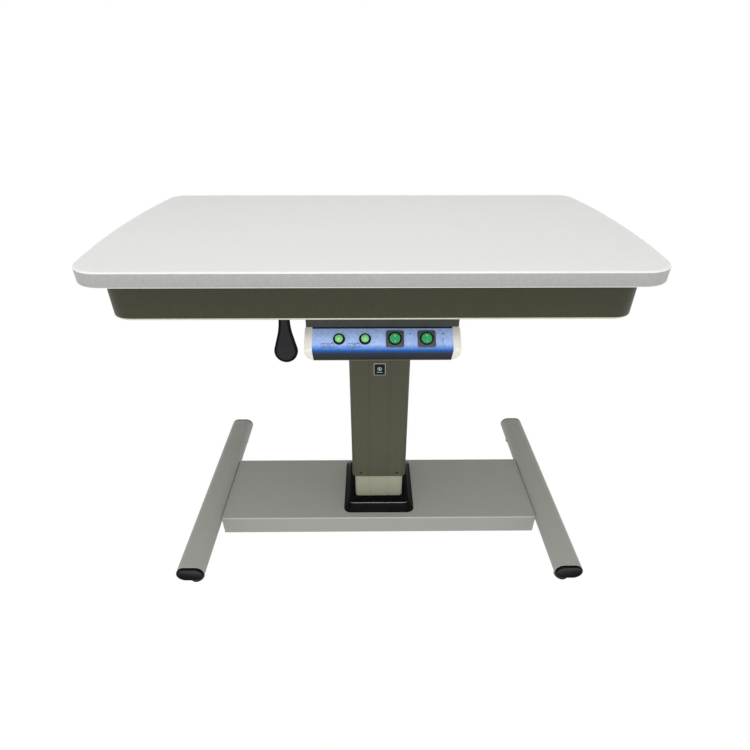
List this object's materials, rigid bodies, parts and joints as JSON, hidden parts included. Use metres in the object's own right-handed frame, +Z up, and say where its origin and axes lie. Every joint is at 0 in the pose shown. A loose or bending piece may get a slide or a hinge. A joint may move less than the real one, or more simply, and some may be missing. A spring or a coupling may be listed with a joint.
{
  "type": "motorised instrument table",
  "caption": "Height-adjustable ophthalmic instrument table: bowed sliding top with skirt, lift column, sloping control box and an H-shaped base on rubber feet.",
  "frame": {"origin": "on the floor under the middle of the tabletop", "axes": "+X to the user's right along the table, +Y away from the user, +Z up"},
  "size_m": [0.93, 0.522, 0.72],
  "materials": {
    "white_laminate": "fine satin laminate",
    "dark_sheet": "satin powder coat",
    "grey_powder": "fine-textured powder coat",
    "black_moulding": "moulded, semi-gloss",
    "foot_rubber": "matte",
    "outer_coat": "satin powder coat",
    "inner_coat": "satin powder coat",
    "nylon": "turned and milled nylon",
    "zinc_steel": "zinc plated",
    "black_screw": "blackened",
    "dark_steel": "painted",
    "drive_steel": "ground",
    "motor_case": "painted",
    "gear_case": "die cast",
    "nut_bronze": "machined",
    "badge_metal": "brushed, blank",
    "housing_dark": "satin powder coat",
    "panel_blue": "satin enamel with plain printed outlines",
    "cover_cream": "moulded, semi-gloss",
    "bezel_black": "moulded",
    "button_green": "moulded, translucent look",
    "frame_grey": "moulded",
    "rocker_green": "moulded",
    "circuit_green": "laminate",
    "supply_case": "plain sheet",
    "socket_black": "moulded",
    "rail_steel": "roll formed",
    "stop_rubber": "matte",
    "brake_rubber": "matte"
  },
  "bodies": {
    "base": {"base_tray": "grey_powder", "left_foot_tube": "grey_powder", "right_foot_tube": "grey_powder", "front_left_cap": "black_moulding", "front_right_cap": "black_moulding", "rear_left_cap": "black_moulding", "rear_right_cap": "black_moulding", "front_left_foot": "foot_rubber", "front_right_foot": "foot_rubber", "rear_left_foot": "foot_rubber", "rear_right_foot": "foot_rubber", "foot_screws": "zinc_steel", "foot_plate": "dark_steel", "column_bolts": "zinc_steel", "column_collar": "black_moulding", "inner_column": "inner_coat", "upper_glides": "nylon", "gearmotor": "motor_case", "gearbox": "gear_case", "motor_mount": "dark_steel", "spindle_bearing": "drive_steel"},
    "spindle": {"lead_screw": "drive_steel", "shaft_coupling": "drive_steel"},
    "column": {"outer_column": "outer_coat", "lower_glides": "nylon", "glide_screws": "black_screw", "head_plate": "dark_steel", "push_tube": "drive_steel", "spindle_nut": "nut_bronze", "badge_plate": "badge_metal", "control_housing": "housing_dark", "control_panel": "panel_blue", "left_end_cover": "cover_cream", "right_end_cover": "cover_cream", "up_button_bezel": "bezel_black", "down_button_bezel": "bezel_black", "power_switch_frame": "frame_grey", "lamp_switch_frame": "frame_grey", "control_board": "circuit_green", "power_supply": "supply_case", "power_inlet": "socket_black", "accessory_outlet": "socket_black", "slide_blocks": "nylon", "lever_bracket": "dark_steel", "lever_pin": "zinc_steel"},
    "table": {"tabletop": "white_laminate", "skirt": "dark_sheet", "front_rail": "rail_steel", "rear_rail": "rail_steel", "end_stops": "stop_rubber", "top_screws": "zinc_steel"},
    "lever": {"lever_arm": "dark_steel", "lever_paddle": "black_moulding", "brake_pad": "brake_rubber"},
    "up_button": {"up_button_cap": "button_green"},
    "down_button": {"down_button_cap": "button_green"},
    "power_switch": {"power_rocker": "rocker_green"},
    "lamp_switch": {"lamp_rocker": "rocker_green"}
  },
  "joints": [
    {"name": "lift", "type": "slide", "parent": "base", "child": "column", "axis": [0, 0, 1], "range_m": [-0.06, 0.14]},
    {"name": "spindle_spin", "type": "hinge", "parent": "base", "child": "spindle", "pos_m": [0.014, -0.0045, 0.3], "axis": [0, 0, 1], "continuous": true},
    {"name": "table_slide", "type": "slide", "parent": "column", "child": "table", "axis": [1, 0, 0], "range_m": [-0.086, 0.114]},
    {"name": "lever_pivot", "type": "hinge", "parent": "column", "child": "lever", "pos_m": [-0.146, -0.15, 0.646], "axis": [1, 0, 0], "range_deg": [-15, 0], "stiffness_Nm_per_rad": 0.6, "springref_deg": 14.32},
    {"name": "up_press", "type": "slide", "parent": "column", "child": "up_button", "axis": [0, 0.6278, -0.7784], "range_m": [0, 0.003], "stiffness_N_per_m": 300, "springref_m": -0.002},
    {"name": "down_press", "type": "slide", "parent": "column", "child": "down_button", "axis": [0, 0.6278, -0.7784], "range_m": [0, 0.003], "stiffness_N_per_m": 300, "springref_m": -0.002},
    {"name": "power_rock", "type": "hinge", "parent": "column", "child": "power_switch", "pos_m": [0.0365, -0.19569, 0.58513], "axis": [1, 0, 0], "range_deg": [-16, 0]},
    {"name": "lamp_rock", "type": "hinge", "parent": "column", "child": "lamp_switch", "pos_m": [0.0897, -0.19569, 0.58513], "axis": [1, 0, 0], "range_deg": [-16, 0]}
  ],
  "couplings": [
    {"joint": "spindle_spin", "follows": "lift", "rad_per_m": 1047.2}
  ]
}
